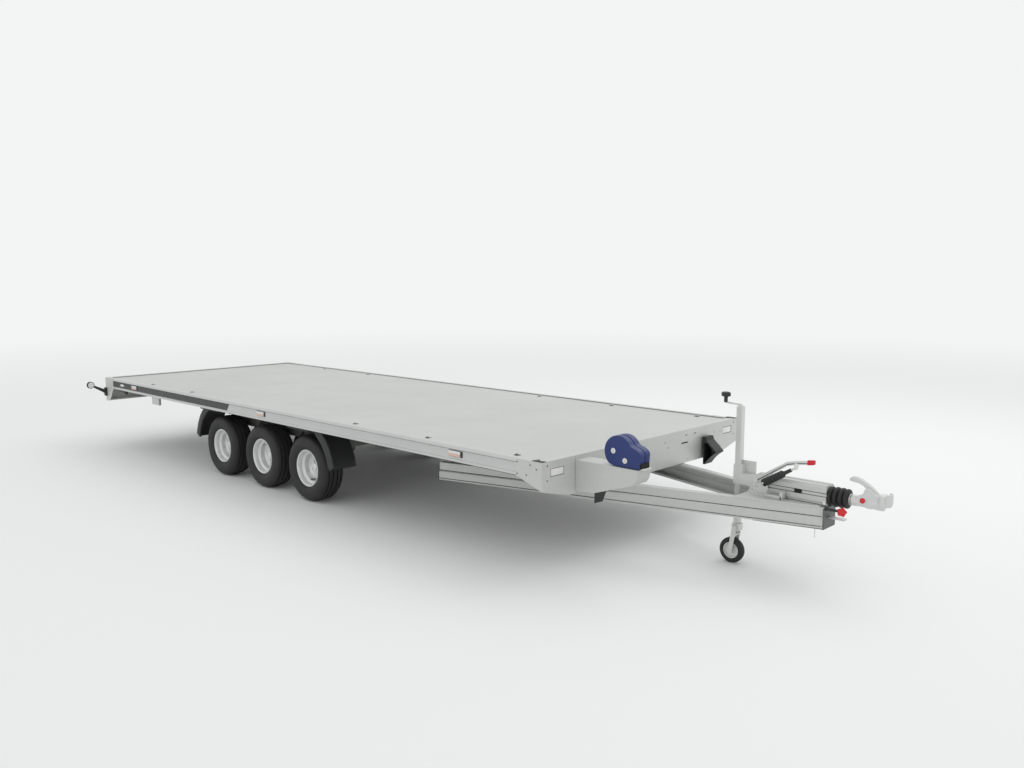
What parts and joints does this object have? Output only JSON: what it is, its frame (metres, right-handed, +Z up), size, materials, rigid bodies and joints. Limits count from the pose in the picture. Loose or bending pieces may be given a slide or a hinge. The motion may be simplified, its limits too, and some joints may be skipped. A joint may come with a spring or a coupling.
{
  "type": "flatbed trailer",
  "caption": "Tri-axle flatbed trailer with a V drawbar, ball coupling, jockey wheel, winch pedestal and deck framed by side rails.",
  "frame": {"origin": "on the floor below the middle of the trailer's overall box, which reaches from the stalk lamps to the coupling's tip", "axes": "+X forward to the coupling, +Y to the trailer's left, +Z up"},
  "size_m": [7.736, 2.558, 1.065],
  "materials": {
    "galvanised": "satin galvanised",
    "rail_metal": "satin",
    "zinc": "zinc plated",
    "deck_board": "smooth grey coated board",
    "tyre": "matt",
    "wheel_silver": "silver paint",
    "black_plastic": "moulded",
    "black_rubber": "matt",
    "blue_plastic": "moulded",
    "red_plastic": "moulded",
    "lamp_red": "clear lens over red"
  },
  "bodies": {
    "trailer": {"side_rail_right": "rail_metal", "side_rail_left": "rail_metal", "front_panel": "galvanised", "rear_panel": "galvanised", "rear_lamp_right": "lamp_red", "rear_lamp_left": "lamp_red", "deck": "deck_board", "cross_members": "galvanised", "frame_rail_right": "galvanised", "frame_rail_left": "galvanised", "beam_hangers": "galvanised", "drawbar_beam_right": "galvanised", "drawbar_beam_left": "galvanised", "drawbar_head": "galvanised", "drawbar_nose": "galvanised", "overrun_housing": "galvanised", "bellows": "black_rubber", "coupling_shaft": "zinc", "coupling_head": "zinc", "coupling_handle": "zinc", "locking_knob": "red_plastic", "handbrake_bracket": "zinc", "handbrake_lever": "zinc", "handbrake_spring": "black_plastic", "jockey_post": "zinc", "jockey_clamp": "zinc", "jockey_crank": "zinc", "winch_pedestal": "galvanised", "winch_cover": "blue_plastic", "pedestal_pad": "black_plastic", "wheel_chock": "black_plastic", "axle_rear": "galvanised", "axle_middle": "galvanised", "axle_front": "galvanised", "mudguard_right_rear": "black_plastic", "mudguard_left_rear": "black_plastic", "mudguard_right_front": "black_plastic", "mudguard_left_front": "black_plastic", "stalk_lamp_right": "black_rubber", "stalk_lamp_left": "black_rubber"},
    "wheel_right_rear": {"tyre_right_rear": "tyre", "rim_right_rear": "wheel_silver"},
    "wheel_right_middle": {"tyre_right_middle": "tyre", "rim_right_middle": "wheel_silver"},
    "wheel_right_front": {"tyre_right_front": "tyre", "rim_right_front": "wheel_silver"},
    "wheel_left_rear": {"tyre_left_rear": "tyre", "rim_left_rear": "wheel_silver"},
    "wheel_left_middle": {"tyre_left_middle": "tyre", "rim_left_middle": "wheel_silver"},
    "wheel_left_front": {"tyre_left_front": "tyre", "rim_left_front": "wheel_silver"},
    "jockey_tube": {"jockey_tube": "zinc"},
    "jockey_fork": {"jockey_fork": "zinc"},
    "jockey_wheel": {"jockey_wheel": "black_rubber"}
  },
  "joints": [
    {"name": "wheel_right_rear_spin", "type": "hinge", "parent": "trailer", "child": "wheel_right_rear", "pos_m": [-1.609, -0.905, 0.266], "axis": [0, 1, 0], "continuous": true},
    {"name": "wheel_right_middle_spin", "type": "hinge", "parent": "trailer", "child": "wheel_right_middle", "pos_m": [-0.941, -0.905, 0.266], "axis": [0, 1, 0], "continuous": true},
    {"name": "wheel_right_front_spin", "type": "hinge", "parent": "trailer", "child": "wheel_right_front", "pos_m": [-0.273, -0.905, 0.266], "axis": [0, 1, 0], "continuous": true},
    {"name": "wheel_left_rear_spin", "type": "hinge", "parent": "trailer", "child": "wheel_left_rear", "pos_m": [-1.609, 0.905, 0.266], "axis": [0, 1, 0], "continuous": true},
    {"name": "wheel_left_middle_spin", "type": "hinge", "parent": "trailer", "child": "wheel_left_middle", "pos_m": [-0.941, 0.905, 0.266], "axis": [0, 1, 0], "continuous": true},
    {"name": "wheel_left_front_spin", "type": "hinge", "parent": "trailer", "child": "wheel_left_front", "pos_m": [-0.273, 0.905, 0.266], "axis": [0, 1, 0], "continuous": true},
    {"name": "jockey_lift", "type": "slide", "parent": "trailer", "child": "jockey_tube", "axis": [0, 0, 1], "range_m": [0, 0.24]},
    {"name": "jockey_swivel", "type": "hinge", "parent": "jockey_tube", "child": "jockey_fork", "pos_m": [2.939, 0, 0.232], "axis": [0, 0, 1], "continuous": true},
    {"name": "jockey_roll", "type": "hinge", "parent": "jockey_fork", "child": "jockey_wheel", "pos_m": [2.909, 0, 0.08], "axis": [0, 1, 0], "continuous": true}
  ]
}
